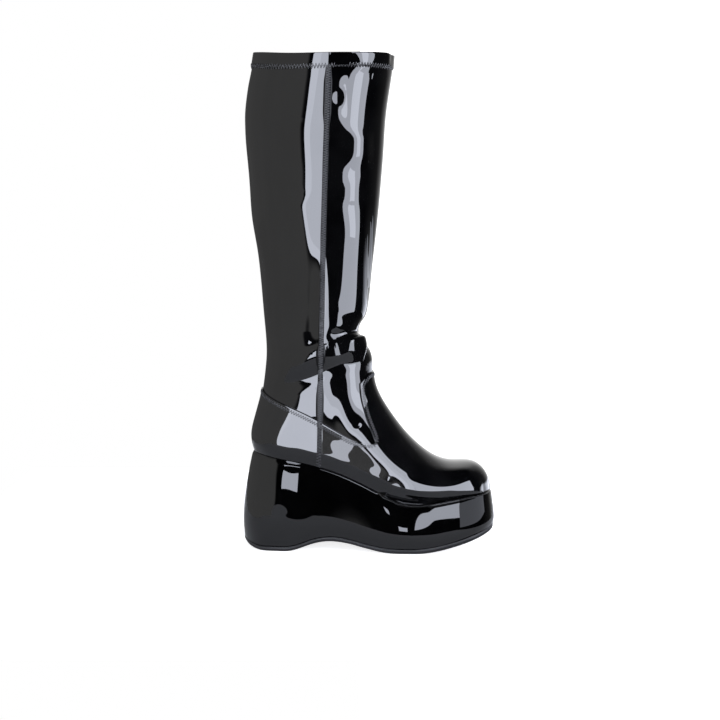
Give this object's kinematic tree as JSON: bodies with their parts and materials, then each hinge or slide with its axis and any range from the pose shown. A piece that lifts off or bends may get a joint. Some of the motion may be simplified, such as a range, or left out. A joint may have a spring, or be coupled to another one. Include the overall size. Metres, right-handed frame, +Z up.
{
  "type": "platform boot",
  "caption": "Knee-high pull-on boot for the right foot in black patent, on a thick wave-shaped platform, with a folded collar hem, raised side seams and a stitched vamp and heel counter.",
  "frame": {"origin": "on the floor under the middle of the whole boot", "axes": "+X to the toe, +Y to the inner side of the leg, +Z up"},
  "size_m": [0.2488, 0.1106, 0.482],
  "materials": {
    "patent_upper": "black patent with a mirror gloss",
    "patent_platform": "black patent wrap over foam, high gloss",
    "outsole_rubber": "matt dark grey rubber",
    "insole_cloth": "matt black sock cloth"
  },
  "bodies": {
    "root": {"outsole": "outsole_rubber", "platform": "patent_platform", "insole": "insole_cloth", "upper": "patent_upper", "vamp": "patent_upper", "heel_counter": "patent_upper", "collar_hem": "patent_upper", "side_seam_lateral": "patent_upper", "side_seam_medial": "patent_upper", "quarter_seam_lateral": "patent_upper", "quarter_seam_medial": "patent_upper"}
  },
  "joints": []
}
